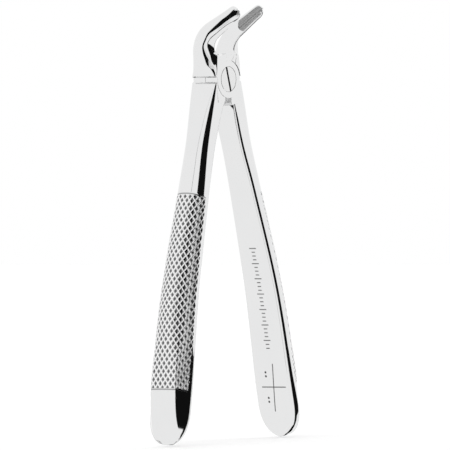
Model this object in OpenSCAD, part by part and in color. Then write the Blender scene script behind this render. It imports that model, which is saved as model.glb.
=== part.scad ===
// Extraction forceps with a lap joint, beaks up, handles down.
// Origin: on the joint's axis, in the flat back face of the joint. X is the opening direction,
// Y is the joint's axis, and the beaks bend towards -Y. The shapes are drawn about the middle of
// the joint's thickness, and in_frame() then moves them forward to that origin.

/* [Joint] */
// Half of the joint's width, from the pivot to its side
joint_half_width = 7.5; // [7.3:0.1:8]
// Thickness of the joint, two layers deep
joint_thickness = 11.2; // [10:0.1:12]
// Radius of the round disc that each half turns on
disc_radius = 7.1; // [6.8:0.05:7.1]
// Height of the crotch between the beaks
upper_crotch = 9.7; // [9:0.1:10.5]
// Depth of the crotch between the handles
lower_crotch = 10; // [9:0.1:11]
// Angle from the joint's side to each shoulder of a closed half
shoulder_angle = 21; // [20:0.5:24]
// Clearance between faces that slide on each other
running_gap = 0.05; // [0.02:0.01:0.08]
// Angle between the halves in the drawn pose, counted from closed
open_angle = 28.2; // [10:0.1:30]

/* [Screw] */
// Radius of the screw's head
head_radius = 4.8; // [4:0.1:5]
// Height of the screw's head
head_height = 2; // [1.5:0.1:2.5]
// Radius of the screw's shaft
shaft_radius = 2.5; // [2:0.1:3]
// Width of the screwdriver slot
slot_width = 1; // [0.6:0.1:1.2]
// Depth of the screwdriver slot
slot_depth = 0.9; // [0.5:0.1:1.2]
// Thickness left behind the blind hole that holds the shaft
hole_back = 1.2; // [0.8:0.1:2]
// Lean of the slot's upper end to the left
slot_lean = 15; // [0:1:90]

/* [Handle] */
// Distance from the pivot to the handle's lower end
handle_length = 141; // [125:1:150]
// Length of the rounded end of the handle
end_length = 13; // [11:0.5:16]
// Greatest width of the handle, across its flat face
handle_width = 17.3; // [15:0.1:18]
// Greatest thickness of the handle
handle_thickness = 8.8; // [8:0.1:10]

/* [Beak] */
// Height at which the beak starts to bend
bend_start = 10.6; // [10:0.1:12]
// Radius of the bend, along the middle of the beak
bend_radius = 11; // [9:0.5:13]
// Angle that the beak bends through
bend_angle = 57; // [45:1:62]
// Length of the straight gripping end
grip_length = 13.5; // [11:0.1:16]
// Distance from the middle to a closed beak's inner face at the tip
tip_offset = 0.7; // [0.5:0.1:1.5]

/* [Hidden] */
$fn = 96;

FRONT = -1;
REAR = 1;
layer_y = joint_thickness / 2;
play = 2 * running_gap / 5;
overlap = 1;
shaft_end = layer_y - hole_back - 0.2;
section_steps = 20;
edge_steps = 3;

// Smooth curve through [station, value] pairs, level with its neighbours at each pair
function slope(p, i) =
    i == 0 || i == len(p) - 1 ? 0 : (p[i + 1][1] - p[i - 1][1]) / (p[i + 1][0] - p[i - 1][0]);
function hermite(t, a, b, ma, mb) =
    a * (1 + 2 * t) * pow(1 - t, 2) + ma * t * pow(1 - t, 2)
    + b * t * t * (3 - 2 * t) - mb * t * t * (1 - t);
function span_at(s, p, i = 0) = i == len(p) - 2 || s < p[i + 1][0] ? i : span_at(s, p, i + 1);
function curve(s, p) =
    let (i = span_at(s, p), w = p[i + 1][0] - p[i][0])
    hermite((s - p[i][0]) / w, p[i][1], p[i + 1][1], slope(p, i) * w, slope(p, i + 1) * w);

// D-shaped section: a flat face at x = inner with rounded edges, and a back that reaches outer.
// A high power gives the back square corners, and 2 gives it half an ellipse.
function round_power(v, power) = sign(v) * pow(abs(v), 2 / power);
function d_section(inner, outer, half_width, power, edge) = [
    for (i = [0 : edge_steps - 1])
        let (a = 90 * i / edge_steps)
        [inner + edge * (1 - cos(a)), -half_width + edge * (1 - sin(a))],
    for (i = [0 : section_steps])
        let (a = -90 + 180 * i / section_steps)
        [
            inner + edge + (outer - inner - edge) * round_power(cos(a), power),
            half_width * round_power(sin(a), power)
        ],
    for (i = [edge_steps - 1 : -1 : 0])
        let (a = 90 * i / edge_steps)
        [inner + edge * (1 - cos(a)), half_width - edge * (1 - sin(a))]
];

// Skin over a list of rings of points, closed by a flat cap at each end
module skin(rings) {
    n = len(rings[0]);
    m = len(rings);
    sides = [
        for (r = [0 : m - 2], i = [0 : n - 1])
            let (j = (i + 1) % n)
            each [
                [r * n + i, r * n + n + j, r * n + n + i],
                [r * n + i, r * n + j, r * n + n + j]
            ]
    ];
    low_cap = [for (i = [n - 1 : -1 : 0]) i];
    high_cap = [for (i = [0 : n - 1]) (m - 1) * n + i];
    polyhedron(points = [for (ring = rings) each ring], faces = concat([low_cap], sides, [high_cap]));
}

// Handle: depth below the pivot, then the value there
end_start = handle_length - end_length;
handle_inner = [[1, 0.9], [10, 0.9], [27, 1.9], [45, 3.1], [84, 4.1], [end_start, 1.3], [handle_length, 1.1]];
handle_outer = [
    [1, joint_half_width], [6, 8.1], [14, 9.1], [27, 10], [45, 10.8],
    [84, 4.1 + handle_thickness], [end_start, 1.3 + handle_thickness], [handle_length, 9.9]
];
handle_half = [
    [1, layer_y - play], [9, layer_y - running_gap], [26, 5.1], [42, 5.8], [80, 7.6],
    [115, handle_width / 2 - 0.1], [end_start, handle_width / 2], [handle_length, handle_width / 2]
];
handle_power = [[1, 16], [5, 7], [12, 3.6], [22, 2.6], [43, 2.2], [80, 2.1], [handle_length, 2.1]];
handle_edge = [[1, 0.1], [10, 0.3], [30, 1], [handle_length, 1.2]];
handle_rings = 34;
end_rings = 9;

function handle_ring(depth, width_scale, thickness_scale) = [
    for (p = d_section(curve(depth, handle_inner),
                       curve(depth, handle_inner)
                       + thickness_scale * (curve(depth, handle_outer) - curve(depth, handle_inner)),
                       width_scale * curve(depth, handle_half), curve(depth, handle_power),
                       width_scale * curve(depth, handle_edge)))
        [p[0], p[1], -depth]
];

module handle() {
    skin(concat(
        [for (i = [0 : handle_rings]) handle_ring(1 + (end_start - 1) * i / handle_rings, 1, 1)],
        [
            for (i = [1 : end_rings])
                let (a = 89 * i / end_rings)
                handle_ring(end_start + end_length * sin(a), cos(a), sqrt(cos(a)))
        ]
    ));
}

// Beak: distance along its middle line from the joint, then the value there
beak_foot = 1;
bend_from = bend_start - beak_foot;
bend_to = bend_from + bend_radius * bend_angle * PI / 180;
tip_rounding = 2;
beak_length = bend_to + grip_length;
beak_inner = [[0, 2.9], [bend_from + 3, 3], [bend_to, 2.6], [beak_length, tip_offset]];
beak_outer = [
    [0, joint_half_width], [bend_from - 2, 7.4], [bend_from + 5, 6.9],
    [bend_to, 6], [bend_to + grip_length / 2, 4.3], [beak_length, tip_offset + 1.7]
];
beak_half = [
    [0, layer_y - running_gap], [3, 5.4], [bend_from, 4.3], [bend_from + 5, 4],
    [bend_to, 3.5], [beak_length, 2.6]
];
beak_power = [[0, 16], [4, 7], [bend_from, 3.6], [bend_to, 2.6], [beak_length, 2.4]];
beak_edge = [[0, 0.1], [bend_from, 0.8], [bend_to, 1.3], [beak_length, 0.8]];
beak_set_back = [[0, 0], [bend_from, 0.5], [bend_to, 0.4], [beak_length, 0.2]];
beak_rings = 26;
tip_rings = 5;

// Point on the beak's middle line, as [y, z, angle from upright]
function middle_line(s) =
    s < bend_from ? [0, beak_foot + s, 0]
    : s < bend_to ? let (a = (s - bend_from) / bend_radius * 180 / PI)
        [-bend_radius * (1 - cos(a)), bend_start + bend_radius * sin(a), a]
    : [
        -bend_radius * (1 - cos(bend_angle)) - (s - bend_to) * sin(bend_angle),
        bend_start + bend_radius * sin(bend_angle) + (s - bend_to) * cos(bend_angle),
        bend_angle
    ];
function beak_ring(s, width_scale) =
    let (c = middle_line(s))
    [
        for (p = d_section(curve(s, beak_inner), curve(s, beak_outer),
                           width_scale * curve(s, beak_half), curve(s, beak_power),
                           width_scale * curve(s, beak_edge)))
            let (w = p[1] + curve(s, beak_set_back))
            [-p[0], c[0] + w * cos(c[2]), c[1] + w * sin(c[2])]
    ];

module beak() {
    round_from = beak_length - tip_rounding;
    skin(concat(
        [for (i = [0 : beak_rings]) beak_ring(round_from * i / beak_rings, 1)],
        [
            for (i = [1 : tip_rings])
                let (a = 80 * i / tip_rings)
                beak_ring(round_from + tip_rounding * sin(a), pow(cos(a), 0.6))
        ]
    ));
}

// Outline of a half's own layer beside the disc, with the handle to the right and the beak to
// the left. Growing it by a gap gives the room that the other half leaves for it.
neck_hip = [5.6, 6.8];      // outer corner of the beak's neck, from the middle and above the pivot
beak_neck_side = 4.2;       // outer edge of the beak's neck at the upper crotch
beak_neck_past = 1.4;       // how far the beak's neck passes the middle at the upper crotch
crotch_step = 0.4;          // height of the straight edge there
handle_neck_side = 4.6;     // outer edge of the handle's neck at the lower crotch
handle_neck_past = 0.9;     // how far the handle's neck passes the middle at the lower crotch
root_past = 0.2;            // how far both necks pass the middle beside the disc
root_z = disc_radius - 0.6; // height of that point
module neck_outline(gap) {
    side_z = joint_half_width * tan(shoulder_angle);
    polygon([
        [-joint_half_width, side_z],
        [-neck_hip[0] - gap, neck_hip[1]],
        [-beak_neck_side - gap, upper_crotch + gap],
        [beak_neck_past + gap, upper_crotch + gap],
        [beak_neck_past + gap, upper_crotch - crotch_step],
        [root_past + gap, root_z],
        [0, 0]
    ]);
    polygon([
        [joint_half_width, -side_z],
        [handle_neck_side + gap, -lower_crotch - gap],
        [-handle_neck_past - gap, -lower_crotch - gap],
        [-root_past - gap, -root_z],
        [0, 0]
    ]);
}

// Prism along the joint's axis, from one y to another
module along_y(from, to) {
    translate([0, to, 0])
        rotate([90, 0, 0])
            linear_extrude(to - from)
                children();
}

// Side notches between the shoulders of the two halves, outside the disc
module side_notches() {
    reach = 2 * joint_half_width;
    rise = reach * tan(shoulder_angle);
    difference() {
        along_y(-joint_thickness, joint_thickness)
            for (side = [-1, 1])
                polygon([[0, 0], [side * reach, rise], [side * reach, -rise]]);
        along_y(-joint_thickness - overlap, joint_thickness + overlap)
            circle(disc_radius);
    }
}

// Layer of the joint on one side of its middle plane
module layer(side, start, end) {
    along_y(side == FRONT ? -end : start, side == FRONT ? -start : end)
        children();
}

// Moves a shape forward, so that the joint's back face lies at y = 0
module in_frame() {
    translate([0, -layer_y, 0])
        children();
}

// Half of the forceps in its closed position, with the handle to the right. The screw's hole goes
// through the front half and ends inside the rear half.
module half(own_side) {
    difference() {
        union() {
            difference() {
                union() {
                    handle();
                    beak();
                    along_y(-layer_y, layer_y)
                        neck_outline(0);
                }
                side_notches();
                layer(-own_side, -play, joint_thickness)
                    circle(disc_radius + running_gap);
                layer(-own_side, -play, joint_thickness)
                    mirror([1, 0, 0])
                        neck_outline(running_gap);
            }
            layer(own_side, play, layer_y)
                circle(disc_radius);
        }
        along_y(-joint_thickness, layer_y - hole_back)
            circle(shaft_radius + (own_side == FRONT ? running_gap : 0));
    }
}

// The front half carries the right handle and the left beak
module front_half() {
    color("silver")
        in_frame()
            rotate([0, -open_angle / 2, 0])
                difference() {
                    half(FRONT);
                    along_y(-joint_thickness, head_height + running_gap - layer_y)
                        circle(head_radius + running_gap);
                }
}

// The rear half carries the left handle and the right beak
module rear_half() {
    color("lightgray")
        in_frame()
            rotate([0, open_angle / 2, 0])
                mirror([1, 0, 0])
                    half(REAR);
}

// The screw turns freely in the front half and is fixed in the rear half
module joint_screw() {
    color("gainsboro")
        in_frame()
            rotate([0, -slot_lean, 0])
                difference() {
                    union() {
                        along_y(-layer_y, head_height - layer_y)
                            circle(head_radius);
                        along_y(head_height - layer_y - running_gap, shaft_end)
                            circle(shaft_radius);
                    }
                    translate([-slot_width / 2, -layer_y - overlap, -2 * head_radius])
                        cube([slot_width, slot_depth + overlap, 4 * head_radius]);
                }
}

front_half();
rear_half();
joint_screw();
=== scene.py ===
"""Extraction forceps: two forged halves and a slotted screw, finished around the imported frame.

Shapes are worked out in millimetres about the middle of the joint, for a half in its closed
position with its handle to the right, and then turned, moved and scaled into the frame.
"""

import math

import bmesh
import bpy
import numpy as np
from mathutils import Matrix, Vector, kdtree


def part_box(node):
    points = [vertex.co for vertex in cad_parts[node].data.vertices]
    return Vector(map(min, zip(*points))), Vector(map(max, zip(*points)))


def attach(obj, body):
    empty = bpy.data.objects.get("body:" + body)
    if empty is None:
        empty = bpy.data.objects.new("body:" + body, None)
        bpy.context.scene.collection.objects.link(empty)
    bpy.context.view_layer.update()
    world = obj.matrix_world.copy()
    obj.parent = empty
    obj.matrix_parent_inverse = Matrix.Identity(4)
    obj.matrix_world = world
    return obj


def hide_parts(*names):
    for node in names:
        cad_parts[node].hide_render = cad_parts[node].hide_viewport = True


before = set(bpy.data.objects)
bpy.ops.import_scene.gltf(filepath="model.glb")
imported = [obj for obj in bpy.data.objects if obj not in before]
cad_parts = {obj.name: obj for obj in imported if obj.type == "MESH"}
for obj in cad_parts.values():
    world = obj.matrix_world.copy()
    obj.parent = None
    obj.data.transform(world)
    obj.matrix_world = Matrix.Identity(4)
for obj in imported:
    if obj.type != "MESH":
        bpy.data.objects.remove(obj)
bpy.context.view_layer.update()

# ---------------------------------------------------------------- sizes
# The frame gives the first ones. They are in millimetres and degrees, except floor_z, in metres.
MM = 1000.0
screw_low, screw_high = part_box("joint_screw")
thickness = -screw_low.y * MM
layer = thickness / 2
head_radius = (screw_high.x - screw_low.x) * MM / 2
slot_lean = 15.0
open_angle = 28.2
floor_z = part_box("front_half")[0].z

# joint
disc_radius = 7.1
joint_half = 7.5
shoulder_angle = 21.0
upper_crotch = 9.7
lower_crotch = 10.0
gap = 0.12                    # clearance round a disc and beside a neck
play = 0.06                   # from the middle of the joint to each layer's sliding face
crescent = (-0.38, 0.1)       # the room round a disc is cut again, moved by this much
clear = 0.004                 # keeps surfaces that are joined or cut from lying on each other
notch_inset = 0.02            # how far a notch reaches under the disc's edge
shoulder_start = 0.4          # the shoulder's chamfer starts this far inside the joint's side
shoulder_chamfer = (0.8, 1.0)
shoulder_rise = 0.6
neck_overlap = 0.5            # how far each neck passes the pivot
side_overlap = 0.3            # how far each neck reaches into the notch that is cut later
beak_neck_waist = (4.7, 7.0)
beak_neck_side = 3.2
beak_neck_past = 1.4
crotch_step = 0.4
handle_neck_side = 4.6
handle_neck_past = 0.9
root_past = 0.2
root_drop = 0.6

# screw
shaft_radius = 2.5
shaft_room = 0.2
shaft_chamfer = 0.3
head_height = 2.0
head_gap = 0.05
head_chamfer = 0.14
slot_width = 1.0
slot_depth = 0.9
hole_back = 1.2

# handle: stations are depths below the pivot, and a cap is the end's shape between two arrises
handle_length = 141.0
end_start = 128.0
knurl_top = 47.6
knurl_end = 120.8
handle_cut = 17.0             # the joint's block takes in the handle down to here
cap_from = 98.0
cap_full = 118.0
cap_arris = 5.7
cap_power = 2.4
cap_crown = 0.45
back_power = 2.05
HANDLE = {
    "inner": [(1, 0.9), (10, 0.9), (27, 1.9), (45, 3.1), (84, 4.1), (128, 1.3), (141, 1.1)],
    "outer": [(1, 7.5), (6, 8.1), (14, 9.1), (27, 10.0), (45, 10.8), (84, 12.9), (118, 10.75),
              (128, 8.9), (135, 6.5), (138, 4.8), (141, 3.0)],
    "half": [(1, 5.58), (9, 5.55), (26, 5.1), (42, 5.8), (80, 7.6), (115, 8.7), (128, 9.1), (141, 9.1)],
    "edge": [(1, 0.15), (10, 0.5), (18, 1.1), (80, 1.4), (115, 1.8), (128, 2.4), (141, 2.4)],
    "corner_x": [(1, 0.15), (6, 1.2), (14, 2.5), (27, 3.7), (45, 4.6), (70, 6.6), (84, 7.3),
                 (128, 7.2), (141, 7.2)],
    "corner_y": [(1, 0.15), (6, 1.1), (14, 2.4), (27, 3.6), (45, 5.0), (70, 7.0), (84, 7.7),
                 (128, 8.5), (141, 8.5)],
}

# beak: stations are distances along its middle line from the joint. p is measured across the
# opening, from the plane where the halves meet, and w from front to back.
beak_foot = 1.0
bend_start = 10.6
bend_radius = 11.0
bend_angle = math.radians(57.0)
bend_from = bend_start - beak_foot
bend_to = bend_from + bend_radius * bend_angle
beak_length = bend_to + 13.5
tip_rounding = 2.0
beak_cut = 12.5               # the joint's block takes in the beak up to here
grip_start = beak_length - 13.0
BEAK = {
    "inner": [(0, 2.9), (bend_from + 3, 3.0), (bend_to, 2.6), (beak_length, 0.7)],
    "outer": [(0, 7.5), (bend_from - 2, 7.4), (bend_from + 5, 6.9), (bend_to, 6.1), (27.9, 4.3),
              (beak_length, 2.4)],
    "high": [(0, 5.55), (3, 5.45), (bend_from, 4.8), (bend_from + 5, 4.5), (bend_to, 3.9),
             (beak_length, 2.8)],
    "front_p": [(0, 7.3), (2.3, 7.0), (4.8, 6.2), (6.3, 5.7), (7.6, 5.2), (9.3, 4.5), (10.3, 4.1),
                (11.2, 3.6), (14, 3.3), (20.1, 3.0), (27.4, 2.0), (31.1, 1.6), (beak_length, 1.2)],
    "front_w": [(0, -5.59), (8.9, -5.58), (10.2, -5.0), (11.4, -4.15), (12.6, -3.75), (14, -3.5),
                (20.4, -3.05), (27, -2.75), (beak_length, -2.5)],
    "arris_p": [(0, 7.35), (2.8, 6.9), (4.8, 6.35), (6.3, 6.8), (8.5, 7.0), (11.1, 6.6), (15, 6.5),
                (16.7, 6.2), (21.2, 5.4), (27.6, 3.9), (31.1, 2.2), (beak_length, 1.4)],
    "arris_w": [(0, -5.5), (2.8, -5.45), (4.8, -5.15), (6.3, -4.5), (8.5, -4.0), (10.3, -3.85),
                (11.5, -3.6), (13, -3.1), (15, -2.1), (16.7, -1.6), (21.2, -1.55), (27.6, -1.6),
                (31.1, -2.1), (beak_length, -2.3)],
    "band_top": [(0, -5.35), (2.8, -4.75), (4.8, -3.6), (6.3, -2.05), (8.7, -1.29), (11.5, -0.62),
                 (14, -0.03), (16.75, 0.15), (19.9, 0.6), (23.6, 0.94), (27.3, 1.18), (beak_length, 1.3)],
    "band_end": [(0, -5.45), (2.8, -5.15), (4.8, -4.35), (6.3, -3.1), (8.7, -2.5), (11.5, -1.6),
                 (14, -0.75), (16.75, -0.7), (19.9, -0.25), (23.6, -0.5), (27.3, -0.6), (31.1, -0.85),
                 (beak_length, -1.3)],
    "band_slope": [(0, 60), (6.3, 58), (9.5, 48), (14, 47), (16.8, 43), (bend_to, 39), (beak_length, 37)],
    "band_round": [(0, 0.05), (3, 0.1), (6, 0.7), (14, 0.8), (20, 1.0), (beak_length, 1.2)],
    "power": [(0, 16), (4, 7), (bend_from, 3.6), (bend_to, 2.6), (beak_length, 2.4)],
    "edge_front": [(0, 0.1), (9, 0.12), (11, 0.4), (bend_to, 0.5), (beak_length, 0.5)],
    "edge_back": [(0, 0.1), (bend_from, 1.0), (bend_to, 1.0), (beak_length, 0.7)],
}


def curve(table, s):
    """Smooth curve through (station, value) pairs, level at both ends."""
    x = np.array([p[0] for p in table], float)
    y = np.array([p[1] for p in table], float)
    m = np.zeros(len(x))
    m[1:-1] = (y[2:] - y[:-2]) / (x[2:] - x[:-2])
    s = np.clip(np.asarray(s, float), x[0], x[-1])
    i = np.clip(np.searchsorted(x, s, side="right") - 1, 0, len(x) - 2)
    w = x[i + 1] - x[i]
    t = (s - x[i]) / w
    return (y[i] * (1 + 2 * t) * (1 - t) ** 2 + m[i] * w * t * (1 - t) ** 2
            + y[i + 1] * t * t * (3 - 2 * t) - m[i + 1] * w * t * t * (1 - t))


def signed_power(v, power):
    return np.sign(v) * np.abs(v) ** (2 / power)


def arc(cx, cy, ax, ay, power, start, end, count):
    """Points of a superellipse's arc, from one angle in degrees to another."""
    a = np.radians(np.linspace(start, end, count))
    x = cx + ax * signed_power(np.cos(a), power)
    y = cy + ay * signed_power(np.sin(a), power)
    return np.stack([x, y], 1)


def bend(before, at, after, size):
    """Three points that round off the corner of a path at one of its points."""
    before, at, after = (np.array(p, float) for p in (before, at, after))

    def toward(p):
        reach = np.linalg.norm(p - at)
        return at + (p - at) * min(size, 0.45 * reach) / max(reach, 1e-9)

    a, b = toward(before), toward(after)
    return np.array([a, (a + 2 * at + b) / 4, b])


def resample(path, count):
    """The same path with points evenly spaced along its length, and their distances from its middle."""
    step = np.linalg.norm(np.diff(path, axis=0), axis=1)
    along = np.concatenate([[0], np.cumsum(step)])
    at = np.linspace(0, along[-1], count)
    return np.stack([np.interp(at, along, path[:, k]) for k in (0, 1)], 1), at - along[-1] / 2


def close_section(back, inner, low, high, edge_low, edge_high, counts):
    """Closes a back, a path from the low inner edge to the high one, with rounded edges and a flat
    inner face. Returns the points, and the distance of each back point from the back's middle."""
    outside, edge_count, inside = counts
    back, along = resample(back, outside)
    high_edge = arc(inner + edge_high[0], high - edge_high[1], *edge_high, 2, 90, 180, edge_count + 2)
    low_edge = arc(inner + edge_low[0], low + edge_low[1], *edge_low, 2, 180, 270, edge_count + 2)
    y = np.linspace(high - edge_high[1], low + edge_low[1], inside)
    face = np.stack([np.full(inside, inner), y], 1)
    return np.concatenate([back, high_edge[1:-1], face, low_edge[1:-1]]), along


def outward(ring):
    """Unit normals of a closed section that runs anticlockwise."""
    t = np.roll(ring, -1, 0) - np.roll(ring, 1, 0)
    n = np.stack([t[:, 1], -t[:, 0]], 1)
    return n / np.maximum(np.linalg.norm(n, axis=1), 1e-9)[:, None]


def smooth_step(x, start, end):
    t = np.clip((x - start) / (end - start), 0, 1)
    return t * t * (3 - 2 * t)


# ---------------------------------------------------------------- knurling and marks
knurl_around = 2.3
knurl_along = 3.05
knurl_depth = 0.42
knurl_proud = 0.12
knurl_soft = 0.4
knurl_margin = 1.9
marked_margin = 3.4
coarse_step = 0.4
fine_step = 0.17
collar_width = 2.0
collar_rise = 1.2
ditch_offset = 0.3
ditch_width = 0.22
ditch_depth = 0.16
mark_depth = 0.05
mark_line = 0.36
cross_y = -0.4
cross_depth = 121.7
cross_slant = 0.084
cross_above = 9
cross_below = 9.5
cross_arms = (5.6, 5.4)
dot_radius = 0.42
dot_pitch = 1.5
dot_across = 3.0
dot_along = 4.2
tick_count = 27
tick_pitch = 1.5
tick_top = 67.7
tick_half = 0.16
long_tick = 1.6
short_tick = 0.8


def knurl(along, depth):
    """How far a handle's back is pressed in at each point: diamond pits between two sets of ridges."""
    def ridge(phase):
        return 1 - np.abs(2 * (phase - np.floor(phase)) - 1)

    a = ridge(along / knurl_around + depth / knurl_along)
    b = ridge(along / knurl_around - depth / knurl_along)
    return knurl_depth * np.minimum(1.0, 1.3 * np.minimum(a, b))


def stroke(v, start, end, soft=0.08):
    """1 between start and end, 0 elsewhere, with soft sides."""
    return smooth_step(v, start - soft, start + soft) * (1 - smooth_step(v, end - soft, end + soft))


def marks(y, depth):
    """Plain etched marks on the right handle's inner face: a cross, four dots and a row of ticks."""
    slant = cross_y + cross_slant * (depth - cross_depth)
    out = stroke(y, slant - mark_line / 2, slant + mark_line / 2)
    out = out * stroke(depth, cross_depth - cross_above, cross_depth + cross_below)
    out = np.maximum(out, stroke(depth, cross_depth - mark_line / 2, cross_depth + mark_line / 2)
                     * stroke(y, cross_y - cross_arms[0], cross_y + cross_arms[1]))
    for row in (-1, 1):
        for k in (0, 1):
            centre = (cross_y + dot_across, cross_depth + row * (dot_along + dot_pitch * k))
            out = np.maximum(out, stroke(np.hypot(y - centre[0], depth - centre[1]), -1, dot_radius))
    for k in range(tick_count):
        reach = long_tick if k % 4 == 0 else short_tick
        at = tick_top + tick_pitch * k
        out = np.maximum(out, stroke(depth, at - tick_half, at + tick_half) * stroke(y, -reach, reach))
    return out


# ---------------------------------------------------------------- lofts
OUTSIDE = 190
EDGE = 7
INSIDE = 96


def handle_section(inner, outer, half, edge, corner_x, corner_y):
    """A handle's section: a flat inner face with rounded edges, and a back with two large corners."""
    corner_x = min(corner_x, outer - inner - edge)
    back = np.concatenate([
        [[inner + edge, -half]],
        arc(outer - corner_x, -half + corner_y, corner_x, corner_y, back_power, -90, 0, 60),
        arc(outer - corner_x, half - corner_y, corner_x, corner_y, back_power, 0, 90, 60),
        [[inner + edge, half]],
    ])
    return close_section(back, inner, -half, half, (edge, edge), (edge, edge), (OUTSIDE, EDGE, INSIDE))


def cap_section(inner, outer, edge, limit):
    """A handle's section near its end: a nearly flat back between two arrises, and a slanting face
    from each arris down to the rounded outline."""
    arris_y = min(cap_arris, 0.93 * limit)
    arris = [outer - cap_crown, arris_y]
    foot = [inner + edge, limit]
    y = np.linspace(-arris_y, arris_y, 61)
    crown = np.column_stack([outer - cap_crown * (y / arris_y) ** 2, y])
    high = np.concatenate([bend(crown[-2], arris, foot, 0.35), bend(arris, foot, [inner, limit], 0.8)[:2],
                           [foot]])
    low = np.column_stack([high[::-1, 0], -high[::-1, 1]])
    path = np.concatenate([low, crown[3:-3], high])
    return close_section(path, inner, -limit, limit, (edge, edge), (edge, edge), (OUTSIDE, EDGE, INSIDE))


def handle_loft(marked):
    """Rings of points down the handle, how much painted shade each point gets in a knurl pit or a ditch,
    how much painted highlight it gets on the knurl's ridge tops, how much it belongs to a mark, and the
    number of the ring where the joint's block ends."""
    stations = np.concatenate([
        np.arange(1.0, knurl_top - collar_width, coarse_step),
        np.arange(knurl_top - collar_width, knurl_end + collar_width, fine_step),
        np.arange(knurl_end + collar_width, end_start, fine_step if marked else coarse_step),
    ])
    stations[np.argmin(np.abs(stations - handle_cut))] = handle_cut
    turns = np.radians(np.linspace(1, 89.6, 70 if marked else 44))
    fall = np.sin(turns) ** (2 / cap_power)
    depths = np.concatenate([stations, end_start + (handle_length - end_start) * fall])
    wide = np.concatenate([np.ones(len(stations)), np.cos(turns) ** (2 / cap_power)])
    rings, groove_shades, crest_highlights, etched = [], [], [], []
    for depth, w in zip(depths, wide):
        v = {name: float(curve(table, depth)) for name, table in HANDLE.items()}
        inner, outer, half = v["inner"], v["outer"], v["half"]
        edge = min(v["edge"], 0.6 * w * half)
        ring, along = handle_section(inner, outer, half, edge, v["corner_x"], min(v["corner_y"], half))
        share = float(smooth_step(depth, cap_from, cap_full))
        if share > 0:
            cap, cap_along = cap_section(inner, outer, edge, w * half)
            ring = (1 - share) * ring + share * cap
            along = (1 - share) * along + share * cap_along
        normal = outward(ring)
        lip = along[-1]
        top = knurl_top - collar_rise * (1 - (along / lip) ** 2)
        zone = smooth_step(depth, top, top + knurl_soft)
        zone = zone * (1 - smooth_step(depth, knurl_end - knurl_soft, knurl_end))
        margin = marked_margin if marked else knurl_margin
        side = 1 - smooth_step(np.abs(along), lip - margin, lip - margin + 0.9)
        pits = knurl(along, depth)
        cut = np.zeros(len(ring))
        cut[:OUTSIDE] = side * zone * (pits - knurl_proud)
        dark, crest_highlight = np.zeros(len(ring)), np.zeros(len(ring))
        # painted shade: the knurl's pits are coloured dark
        dark[:OUTSIDE] = side * zone * smooth_step(pits / knurl_depth, 0.3, 0.8)
        # painted highlight: the knurl's ridge tops are coloured light
        crest_highlight[:OUTSIDE] = side * zone * (1 - smooth_step(pits / knurl_depth, 0.15, 0.5))
        # painted shade along each ditch at the knurl's two ends
        for line in (top - ditch_offset, knurl_end + ditch_offset):
            ditch = side * np.exp(-((depth - line) / ditch_width) ** 2)
            cut[:OUTSIDE] += ditch_depth * ditch
            dark[:OUTSIDE] = np.maximum(dark[:OUTSIDE], 0.9 * ditch)
        mark = np.zeros(len(ring))
        if marked:
            face = slice(OUTSIDE + EDGE, OUTSIDE + EDGE + INSIDE)
            mark[face] = marks(ring[face, 1], depth)
        ring = ring - normal * (cut + mark_depth * mark)[:, None]
        rings.append(np.column_stack([ring, np.full(len(ring), -depth)]))
        groove_shades.append(dark)
        crest_highlights.append(crest_highlight)
        etched.append(mark)
    values = {"groove_shade": np.array(groove_shades), "crest_highlight": np.array(crest_highlights), "mark": np.array(etched)}
    return np.array(rings), values, int(np.argmin(np.abs(stations - handle_cut)))


def middle_line(s):
    """The beak's middle line: forward place, height and lean at a distance along it."""
    if s < bend_from:
        return 0.0, beak_foot + s, 0.0
    if s < bend_to:
        a = (s - bend_from) / bend_radius
        return -bend_radius * (1 - math.cos(a)), bend_start + bend_radius * math.sin(a), a
    reach = s - bend_to
    return (-bend_radius * (1 - math.cos(bend_angle)) - reach * math.sin(bend_angle),
            bend_start + bend_radius * math.sin(bend_angle) + reach * math.cos(bend_angle), bend_angle)


BEAK_OUTSIDE = 150
BEAK_INSIDE = 61
grip_recess = 0.1
grip_curve = 1.6
ridge_pitch = 0.62
ridge_depth = 0.16
channel_depth = 0.35
channel_width = 0.55


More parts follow.
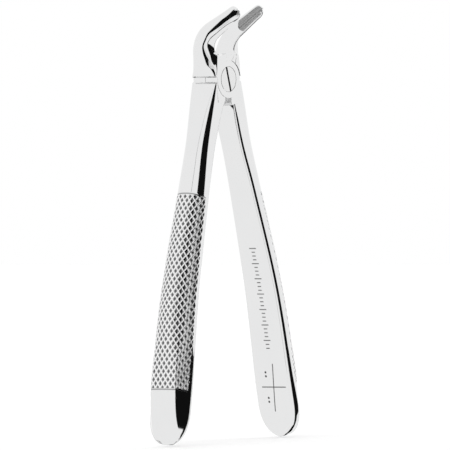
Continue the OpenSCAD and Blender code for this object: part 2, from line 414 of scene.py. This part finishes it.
def beak_loft():
    """Rings of points up the beak, how much each point belongs to the gripping face and to the lines of
    painted shade on it and round its border, and the number of the ring where the joint's block ends."""
    round_from = beak_length - tip_rounding
    fine_from = grip_start - 0.5
    stations = np.concatenate([np.arange(0, fine_from, 0.3), np.arange(fine_from, round_from, 0.14)])
    stations[np.argmin(np.abs(stations - beak_cut))] = beak_cut
    turns = np.radians(np.linspace(0, 84, 16))
    places = np.concatenate([stations, round_from + tip_rounding * np.sin(turns)])
    wide = np.concatenate([np.ones(len(stations)), np.cos(turns) ** 0.6])
    rings, grips, stripe_rows = [], [], []
    for s, w in zip(places, wide):
        v = {name: float(curve(table, s)) for name, table in BEAK.items()}
        inner, outer = v["inner"], v["outer"]
        middle_w = (v["high"] + v["front_w"]) / 2
        low_edge = (v["edge_front"], v["edge_front"])
        high_edge = (0.7 * v["edge_back"], v["edge_back"])
        slope = math.radians(v["band_slope"])
        r = min(v["band_round"], 0.9 * (v["band_top"] - v["band_end"]) / math.sin(slope))
        flat_end = v["band_top"] + r * math.sin(slope / 2)
        band = arc(outer - r, flat_end, r, r, 2, -v["band_slope"], 0, 14)
        fall = band[0, 1] - v["band_end"]
        crease = [band[0, 0] - fall * math.tan(slope), v["band_end"]]
        front_edge = [inner + low_edge[0], v["front_w"]]
        front, arris = [v["front_p"], v["front_w"]], [v["arris_p"], v["arris_w"]]
        hx = outer - inner - high_edge[0]
        hy = v["high"] - max(flat_end, middle_w)
        back = np.concatenate([
            [front_edge],
            bend(front_edge, front, arris, 0.25),
            bend(front, arris, crease, 0.3),
            bend(arris, crease, band[0], 0.15),
            band,
            arc(outer - hx, v["high"] - hy, hx, hy, v["power"], 0, 90, 60),
            [[inner + high_edge[0], v["high"]]],
        ])
        ring, _ = close_section(back, inner, v["front_w"], v["high"], low_edge, high_edge,
                                (BEAK_OUTSIDE, EDGE, BEAK_INSIDE))
        ring[:, 1] = middle_w + w * (ring[:, 1] - middle_w)
        grip, lines = np.zeros(len(ring)), np.zeros(len(ring))
        face = slice(BEAK_OUTSIDE + EDGE, BEAK_OUTSIDE + EDGE + BEAK_INSIDE)
        y = ring[face, 1]
        middle = (y[0] + y[-1]) / 2
        reach = abs(y[0] - y[-1]) / 2
        beyond = s - grip_start - grip_curve * ((y - middle) / reach) ** 2
        on = (1 - smooth_step(np.abs(y - middle), reach - 0.25, reach - 0.1)) * smooth_step(beyond, 0, 0.25)
        grip[face] = on
        # painted shade: three dark lines along the gripping face, and a dark line round its border
        stripes = sum(np.exp(-((y - middle - at * reach) / 0.1) ** 2) for at in (-0.45, 0.05, 0.5))
        lines[face] = on * np.clip(0.75 * stripes, 0, 1) + 1.6 * on * (1 - on)
        phase = (y - middle) / ridge_pitch
        teeth = np.abs(2 * (phase - np.floor(phase)) - 1)
        channel = channel_depth * np.exp(-((y - middle) / channel_width) ** 2)
        ring[face, 0] += on * (grip_recess + ridge_depth * teeth + channel)
        cy, cz, lean = middle_line(s)
        across = ring[:, 1]
        y, z = cy + across * math.cos(lean), cz + across * math.sin(lean)
        rings.append(np.column_stack([-ring[:, 0], y, z]))
        grips.append(grip)
        stripe_rows.append(lines)
    values = {"grip": np.array(grips), "groove_shade": np.array(stripe_rows)}
    return np.array(rings), values, int(np.argmin(np.abs(stations - beak_cut)))


# ---------------------------------------------------------------- meshes
def tube_faces(ring_count, n):
    r = np.arange(ring_count - 1)[:, None] * n
    i = np.arange(n)[None, :]
    j = (i + 1) % n
    return np.stack([r + i, r + n + i, r + n + j, r + j], -1).reshape(-1, 4).tolist()


def new_object(name, verts, faces):
    mesh = bpy.data.meshes.new(name)
    mesh.from_pydata(np.asarray(verts, float).tolist(), [], faces)
    obj = bpy.data.objects.new(name, mesh)
    bpy.context.scene.collection.objects.link(obj)
    return obj


def outward_normals(obj):
    bm = bmesh.new()
    bm.from_mesh(obj.data)
    bmesh.ops.recalc_face_normals(bm, faces=bm.faces)
    bm.to_mesh(obj.data)
    bm.free()
    return obj


def loft_solid(name, rings):
    count, n = rings.shape[:2]
    faces = tube_faces(count, n)
    faces.append(list(range(n)))
    faces.append(list(range((count - 1) * n, count * n))[::-1])
    return outward_normals(new_object(name, rings.reshape(-1, 3), faces))


def prism(outline, start, end):
    """A cutting or joining tool: a prism along Y over an outline of (x, z) points."""
    outline = np.asarray(outline, float)
    x, z = outline.T
    rings = [np.column_stack([x, np.full(len(x), y), z]) for y in (start, end)]
    return loft_solid("tool", np.array(rings))


def circle(radius, count=256):
    a = np.linspace(0, 2 * math.pi, count, endpoint=False)
    return np.stack([radius * np.cos(a), radius * np.sin(a)], 1)


def boolean(target, tool, operation):
    modifier = target.modifiers.new("cut", "BOOLEAN")
    modifier.operation = operation
    modifier.solver = "EXACT"
    modifier.object = tool
    graph = bpy.context.evaluated_depsgraph_get()
    mesh = bpy.data.meshes.new_from_object(target.evaluated_get(graph))
    target.modifiers.clear()
    target.data = mesh
    bpy.data.objects.remove(tool)
    return target


def mirrored(outline):
    return [(-x, z) for x, z in outline][::-1]


def beak_neck(grow):
    """Outline that joins a beak to its layer, grown sideways."""
    side_z = joint_half * math.tan(math.radians(shoulder_angle))
    return [(-joint_half, side_z - side_overlap), (-beak_neck_waist[0] - grow, beak_neck_waist[1]),
            (-beak_neck_side - grow, upper_crotch + grow), (beak_neck_past + grow, upper_crotch + grow),
            (beak_neck_past + grow, upper_crotch - crotch_step),
            (root_past + grow, disc_radius - root_drop), (0, -neck_overlap)]


def handle_neck(grow):
    """Outline that joins a handle to its layer, grown sideways."""
    side_z = joint_half * math.tan(math.radians(shoulder_angle))
    return [(joint_half, side_overlap - side_z), (handle_neck_side + grow, -lower_crotch - grow),
            (-handle_neck_past - grow, -lower_crotch - grow), (-root_past - grow, root_drop - disc_radius),
            (0, neck_overlap)]


def notch(side):
    """Outline of the room between two shoulders, from the disc's edge outwards."""
    slope = math.tan(math.radians(shoulder_angle))
    a = np.radians(np.linspace(-shoulder_angle, shoulder_angle, 33))
    inside = (disc_radius - notch_inset) * np.stack([np.cos(a), np.sin(a)], 1)
    start, reach = joint_half - shoulder_start, 2 * joint_half
    upper = np.array([[start, start * slope],
                      [start + shoulder_chamfer[0], start * slope + shoulder_chamfer[1]],
                      [reach, reach * slope + shoulder_rise]])
    lower = (upper * (1, -1))[::-1]
    outline = np.concatenate([inside, upper, lower])
    outline[:, 0] *= side
    return outline


def joint_block(own, handle, beak):
    """One half's joint, cut from its handle's and beak's first rings. own is -1 in front, 1 behind."""
    body = loft_solid("body", handle)
    boolean(body, loft_solid("tool", beak), "UNION")
    for outline in (beak_neck(0), handle_neck(0)):
        boolean(body, prism(outline, -layer + clear, layer - clear), "UNION")
    for side in (-1, 1):
        boolean(body, prism(notch(side), -thickness, thickness), "DIFFERENCE")
    other = (-play, thickness) if own < 0 else (-thickness, play)
    boolean(body, prism(circle(disc_radius + gap), *other), "DIFFERENCE")
    boolean(body, prism(circle(disc_radius) + np.array(crescent), *other), "DIFFERENCE")
    for outline in (beak_neck(gap), handle_neck(gap)):
        boolean(body, prism(mirrored(outline), *other), "DIFFERENCE")
    inner, outer = play + clear / 2, layer - clear / 2
    disc = (-outer, -inner) if own < 0 else (inner, outer)
    boolean(body, prism(circle(disc_radius), *disc), "UNION")
    bore = shaft_radius + (head_gap if own < 0 else 0)
    boolean(body, prism(circle(bore, 128), -thickness, layer - hole_back), "DIFFERENCE")
    if own < 0:
        recess = prism(circle(head_radius + head_gap), -thickness, head_height + gap - layer)
        boolean(body, recess, "DIFFERENCE")
    return body


same_point = 2e-3             # millimetres


def extend(body, rings, start, values):
    """Adds a loft's further rings to a body whose flat cap lies on ring number start, and stores the
    values of the new points in layers of the same names."""
    bm = bmesh.new()
    bm.from_mesh(body.data)
    layers = {name: bm.verts.layers.float.get(name) or bm.verts.layers.float.new(name) for name in values}
    first = rings[start]
    tree = kdtree.KDTree(len(first))
    for k, p in enumerate(first):
        tree.insert(p, k)
    tree.balance()
    match = {}
    for v in bm.verts:
        _, k, distance = tree.find(v.co)
        if distance < same_point:
            match[k] = v
    cap = [f for f in bm.faces if all(tree.find(v.co)[2] < same_point for v in f.verts)]
    bmesh.ops.delete(bm, geom=cap, context="FACES_ONLY")
    n = len(first)
    rows = [[match.get(i) for i in range(n)]]
    assert all(rows[0]), "the joint's cap has lost points"
    for r in range(start + 1, len(rings)):
        rows.append([bm.verts.new(p) for p in rings[r]])
        for name, value in values.items():
            for v, x in zip(rows[-1], value[r]):
                v[layers[name]] = x
    for a, b in zip(rows, rows[1:]):
        for i in range(n):
            j = (i + 1) % n
            bm.faces.new((a[i], b[i], b[j], a[j]))
    bm.faces.new(rows[-1])
    bmesh.ops.recalc_face_normals(bm, faces=bm.faces)
    bm.to_mesh(body.data)
    bm.free()
    return body


def place(obj, own):
    """Turns a closed half to the drawn pose and moves it into the frame, in metres."""
    turn = Matrix.Rotation(own * math.radians(open_angle / 2), 4, "Y")
    flip = Matrix.Scale(-1, 4, (1, 0, 0)) if own > 0 else Matrix.Identity(4)
    to_frame = Matrix.Scale(1 / MM, 4) @ Matrix.Translation((0, -layer, 0))
    obj.data.transform(to_frame @ turn @ flip)
    return outward_normals(obj)


sharp_angle = 28


def shade(obj):
    """Smooth shading with sharp edges kept."""
    mesh = obj.data
    mesh.shade_smooth()
    mesh.set_sharp_from_angle(angle=math.radians(sharp_angle))
    modifier = obj.modifiers.new("normals", "WEIGHTED_NORMAL")
    modifier.keep_sharp = True
    modifier.weight = 60
    return obj


def build_half(name, own):
    handle, values, handle_at = handle_loft(marked=own < 0)
    beak, beak_values, beak_at = beak_loft()
    body = joint_block(own, handle[:handle_at + 1], beak[:beak_at + 1])
    extend(body, handle, handle_at, values)
    extend(body, beak, beak_at, beak_values)
    body.name = name
    return shade(place(body, own))


def build_screw(name):
    """Slotted screw: a turned head with a small chamfer, its slot, and a plain shaft."""
    shaft_end = layer - hole_back - shaft_room
    profile = [(0.0, -layer), (head_radius - head_chamfer, -layer), (head_radius, -layer + head_chamfer),
               (head_radius, head_height - layer), (shaft_radius, head_height - layer),
               (shaft_radius, shaft_end - shaft_chamfer), (shaft_radius - shaft_chamfer, shaft_end),
               (0.0, shaft_end)]
    count = 256
    rings = np.array([np.column_stack([c[:, 0], np.full(count, y), c[:, 1]])
                      for r, y in profile for c in [circle(max(r, 0.01), count)]])
    body = loft_solid(name, rings)
    half, reach = slot_width / 2, 2 * head_radius
    slot = [(-half, -reach), (half, -reach), (half, reach), (-half, reach)]
    boolean(body, prism(slot, -layer - 1, slot_depth - layer), "DIFFERENCE")
    body.data.transform(Matrix.Rotation(math.radians(-slot_lean), 4, "Y"))
    body.data.transform(Matrix.Scale(1 / MM, 4) @ Matrix.Translation((0, -layer, 0)))
    return shade(outward_normals(body))


# ---------------------------------------------------------------- materials
class Nodes:
    """Short calls for building a node tree."""

    def __init__(self, tree):
        self.tree = tree
        tree.nodes.clear()

    def add(self, kind, **values):
        node = self.tree.nodes.new(kind)
        for key, value in values.items():
            setattr(node, key, value)
        return node

    def link(self, source, target):
        self.tree.links.new(source, target)

    def feed(self, socket, value):
        if isinstance(value, bpy.types.NodeSocket):
            self.link(value, socket)
        else:
            socket.default_value = value

    def math(self, operation, *values, clamp=False):
        node = self.add("ShaderNodeMath", operation=operation, use_clamp=clamp)
        for socket, value in zip(node.inputs, values):
            self.feed(socket, value)
        return node.outputs[0]

    def mix(self, factor, a, b):
        node = self.add("ShaderNodeMix", data_type="RGBA")
        self.feed(node.inputs["Factor"], factor)
        for socket, value in ((node.inputs[6], a), (node.inputs[7], b)):
            self.feed(socket, value)
        return node.outputs[2]

    def noise(self, vector, scale, detail=2.0, stretch=(1, 1, 1)):
        mapping = self.add("ShaderNodeMapping")
        mapping.inputs["Scale"].default_value = stretch
        self.link(vector, mapping.inputs["Vector"])
        node = self.add("ShaderNodeTexNoise")
        node.inputs["Scale"].default_value = scale
        node.inputs["Detail"].default_value = detail
        self.link(mapping.outputs[0], node.inputs["Vector"])
        return node.outputs["Fac"]

    def range(self, value, low, high, to_low=0.0, to_high=1.0, smooth=False):
        node = self.add("ShaderNodeMapRange", clamp=True)
        if smooth:
            node.interpolation_type = "SMOOTHSTEP"
        for socket, v in zip(node.inputs, (value, low, high, to_low, to_high)):
            self.feed(socket, v)
        return node.outputs[0]

    def attribute(self, name):
        return self.add("ShaderNodeAttribute", attribute_name=name).outputs["Fac"]


def grey(v, warm=0.0):
    return (v + warm, v, v - warm, 1.0)


def polished_steel():
    """The halves' steel: bright, with painted shade in the knurl's pits, its ditches and the gripping
    face's lines, painted highlights on the knurl's ridge tops and on rounded edges, some wear on those
    edges, a matt gripping face and etched marks.
    """
    material = bpy.data.materials.new("polished_steel")
    material.use_nodes = True
    n = Nodes(material.node_tree)
    place_at = n.add("ShaderNodeTexCoord").outputs["Object"]
    groove_shade, crest_highlight = n.attribute("groove_shade"), n.attribute("crest_highlight")
    mark, grip = n.attribute("mark"), n.attribute("grip")
    cloud = n.noise(place_at, 90.0, 3.0)
    streak = n.noise(place_at, 1.0, 4.0, (5200, 5200, 160))
    speckle = n.noise(place_at, 5200.0, 2.0)

    edge = n.add("ShaderNodeBevel", samples=6)
    edge.inputs["Radius"].default_value = 0.00014
    geometry = n.add("ShaderNodeNewGeometry")
    dot = n.add("ShaderNodeVectorMath", operation="DOT_PRODUCT")
    n.link(edge.outputs[0], dot.inputs[0])
    n.link(geometry.outputs["Normal"], dot.inputs[1])
    # rounded edges found by the Bevel node get a painted highlight (a lighter colour) and some wear (more
    # roughness)
    edge_wear_and_sheen = n.range(dot.outputs["Value"], 0.995, 0.9)

    colour = n.mix(cloud, grey(0.785, -0.003), grey(0.815))
    colour = n.mix(n.math("MULTIPLY", edge_wear_and_sheen, 0.5), colour, grey(0.86))
    # painted highlight on the knurl's ridge tops; painted shade in its pits, its ditches and the gripping
    # face's lines
    colour = n.mix(n.math("MULTIPLY", crest_highlight, 0.9), colour, grey(0.97))
    colour = n.mix(n.math("MULTIPLY", groove_shade, 0.88), colour, grey(0.05, -0.002))
    colour = n.mix(grip, colour, grey(0.42))
    colour = n.mix(mark, colour, grey(0.035))

    rough = n.range(cloud, 0.35, 0.7, 0.035, 0.075)
    rough = n.math("ADD", rough, n.math("MULTIPLY", groove_shade, 0.3))
    rough = n.math("ADD", rough, n.math("MULTIPLY", crest_highlight, 0.4))
    rough = n.math("ADD", rough, n.math("MULTIPLY", edge_wear_and_sheen, 0.06))
    rough = n.math("ADD", rough, n.math("MULTIPLY", grip, 0.42))
    rough = n.math("ADD", rough, n.math("MULTIPLY", mark, 0.5), clamp=True)

    height = n.math("ADD", n.math("MULTIPLY", streak, 0.25),
                    n.math("MULTIPLY", speckle, n.math("ADD", 0.05, n.math("MULTIPLY", grip, 3.0))))
    bump = n.add("ShaderNodeBump")
    bump.inputs["Strength"].default_value = 0.35
    bump.inputs["Distance"].default_value = 0.000004
    n.link(height, bump.inputs["Height"])
    n.link(edge.outputs[0], bump.inputs["Normal"])

    shader = n.add("ShaderNodeBsdfPrincipled")
    n.feed(shader.inputs["Base Color"], colour)
    n.feed(shader.inputs["Metallic"], n.math("SUBTRACT", 1.0, n.math("MULTIPLY", mark, 0.6)))
    n.feed(shader.inputs["Roughness"], rough)
    n.link(bump.outputs[0], shader.inputs["Normal"])
    n.link(shader.outputs[0], n.add("ShaderNodeOutputMaterial").inputs["Surface"])
    return material


def turned_steel():
    """The screw's steel, with the fine rings that turning leaves on its head."""
    material = bpy.data.materials.new("turned_steel")
    material.use_nodes = True
    n = Nodes(material.node_tree)
    place_at = n.add("ShaderNodeTexCoord").outputs["Object"]
    parts = n.add("ShaderNodeSeparateXYZ")
    n.link(place_at, parts.inputs[0])
    radius = n.math("SQRT", n.math("ADD", n.math("POWER", parts.outputs["X"], 2.0),
                                   n.math("POWER", parts.outputs["Z"], 2.0)))
    rings = n.math("SINE", n.math("MULTIPLY", radius, 2 * math.pi / 0.00016))
    cloud = n.noise(place_at, 160.0, 3.0)
    edge = n.add("ShaderNodeBevel", samples=6)
    edge.inputs["Radius"].default_value = 0.0001
    bump = n.add("ShaderNodeBump")
    bump.inputs["Strength"].default_value = 0.3
    bump.inputs["Distance"].default_value = 0.000002
    n.link(rings, bump.inputs["Height"])
    n.link(edge.outputs[0], bump.inputs["Normal"])
    shader = n.add("ShaderNodeBsdfPrincipled")
    # painted shade: everything more than about 0.1 to 0.3 mm below the head's face, so the slot, is
    # coloured nearly black
    deep_shade = n.range(parts.outputs["Y"], 0.0001 - thickness / MM, 0.0003 - thickness / MM)
    n.feed(shader.inputs["Base Color"], n.mix(deep_shade, n.mix(cloud, grey(0.77), grey(0.81)), grey(0.02)))
    shader.inputs["Metallic"].default_value = 1.0
    n.feed(shader.inputs["Roughness"], n.range(cloud, 0.35, 0.7, 0.08, 0.14))
    n.link(bump.outputs[0], shader.inputs["Normal"])
    n.link(shader.outputs[0], n.add("ShaderNodeOutputMaterial").inputs["Surface"])
    return material


# ---------------------------------------------------------------- stage, light and camera
def build_world():
    """A white light tent, seen only in reflections and as light. It has one dark flag in front, a
    dark patch underneath and a faint seam at the left. Angles are in degrees."""
    world = bpy.data.worlds.new("tent")
    bpy.context.scene.world = world
    world.use_nodes = True
    n = Nodes(world.node_tree)
    parts = n.add("ShaderNodeSeparateXYZ")
    n.link(n.add("ShaderNodeTexCoord").outputs["Generated"], parts.inputs[0])
    x, y, z = parts.outputs
    azimuth = n.math("MULTIPLY", n.math("ARCTAN2", x, n.math("MULTIPLY", y, -1.0)), 180 / math.pi)
    elevation = n.math("MULTIPLY", n.math("ARCSINE", z), 180 / math.pi)

    def band(value, low, high, soft):
        up = n.range(value, low - soft, low + soft, smooth=True)
        down = n.range(value, high - soft, high + soft, 1.0, 0.0, smooth=True)
        return n.math("MULTIPLY", up, down)

    right_edge = n.range(elevation, -30, -16, 8, 36)
    flag = n.math("MULTIPLY", n.range(azimuth, -40.8, -39.2, smooth=True),
                  n.range(n.math("SUBTRACT", azimuth, right_edge), -0.8, 0.8, 1.0, 0.0, smooth=True))
    flag = n.math("MULTIPLY", flag, band(elevation, -91, 72, 3))
    cap_edge = n.range(band(azimuth, 15, 140, 4), 0, 1, -57, -70)
    behind = n.range(n.math("ABSOLUTE", azimuth), 136, 144)
    cap_edge = n.math("ADD", cap_edge, n.math("MULTIPLY", behind, 15))
    below = n.range(n.math("SUBTRACT", elevation, cap_edge), 1, -2, smooth=True)
    seam = n.math("MULTIPLY", band(azimuth, -98, -95, 0.8), band(elevation, 21, 60, 2))
    dark = n.math("MAXIMUM", n.math("MAXIMUM", flag, below), n.math("MULTIPLY", seam, 0.8))
    tent = n.mix(dark, grey(1.0), grey(0.006))
    seen = n.mix(n.add("ShaderNodeLightPath").outputs["Is Camera Ray"], tent, grey(1.0))
    background = n.add("ShaderNodeBackground")
    n.link(seen, background.inputs["Color"])
    n.link(background.outputs[0], n.add("ShaderNodeOutputWorld").inputs["Surface"])


def build_floor():
    """A pale matt floor just under the handles, left out of reflections."""
    size = 1.5
    z = floor_z - 0.0002
    corners = [(-size, -size, z), (size, -size, z), (size, size, z), (-size, size, z)]
    floor = new_object("floor", corners, [(0, 1, 2, 3)])
    material = bpy.data.materials.new("pale_floor")
    material.use_nodes = True
    n = Nodes(material.node_tree)
    shader = n.add("ShaderNodeBsdfPrincipled")
    shader.inputs["Base Color"].default_value = grey(0.86)
    shader.inputs["Roughness"].default_value = 1.0
    shader.inputs["Specular IOR Level"].default_value = 0.0
    shader.inputs["Emission Color"].default_value = grey(1.0)
    shader.inputs["Emission Strength"].default_value = 0.36
    n.link(shader.outputs[0], n.add("ShaderNodeOutputMaterial").inputs["Surface"])
    floor.data.materials.append(material)
    floor.visible_glossy = False


def build_camera():
    """A long lens, level, from the left front, leaning a little with the tool."""
    azimuth = math.radians(-54)
    lean = Matrix.Rotation(math.radians(2.4), 3, "Y")
    toward = lean @ Vector((math.sin(azimuth), -math.cos(azimuth), 0))
    right = lean @ Vector((math.cos(azimuth), math.sin(azimuth), 0))
    up = lean @ Vector((0, 0, 1))
    view_width = 169.5
    across, below = 3.16, 54.9
    distance = 7500.0
    pivot = Vector((0, -layer, 0))
    target = pivot + right * across - up * below
    data = bpy.data.cameras.new("camera")
    data.sensor_width = 36.0
    data.lens = data.sensor_width * distance / view_width
    data.clip_start = 0.1
    data.clip_end = 30.0
    camera = bpy.data.objects.new("camera", data)
    bpy.context.scene.collection.objects.link(camera)
    turn = Matrix((right, up, toward)).transposed().to_4x4()
    camera.matrix_world = Matrix.Translation((target + toward * distance) / MM) @ turn
    bpy.context.scene.camera = camera


# ---------------------------------------------------------------- assembly
steel = polished_steel()
front = build_half("front_half_steel", -1)
rear = build_half("rear_half_steel", 1)
screw = build_screw("slotted_screw")
front.data.materials.append(steel)
rear.data.materials.append(steel)
screw.data.materials.append(turned_steel())

for piece, body, node, slot in (
    (front, "front_body", "front_half", "polished_steel"),
    (rear, "rear_body", "rear_half", "polished_steel"),
    (screw, "rear_body", "joint_screw", "screw_steel"),
):
    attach(piece, body)
    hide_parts(node)

build_world()
build_floor()
build_camera()
bpy.context.scene.view_settings.view_transform = "Standard"
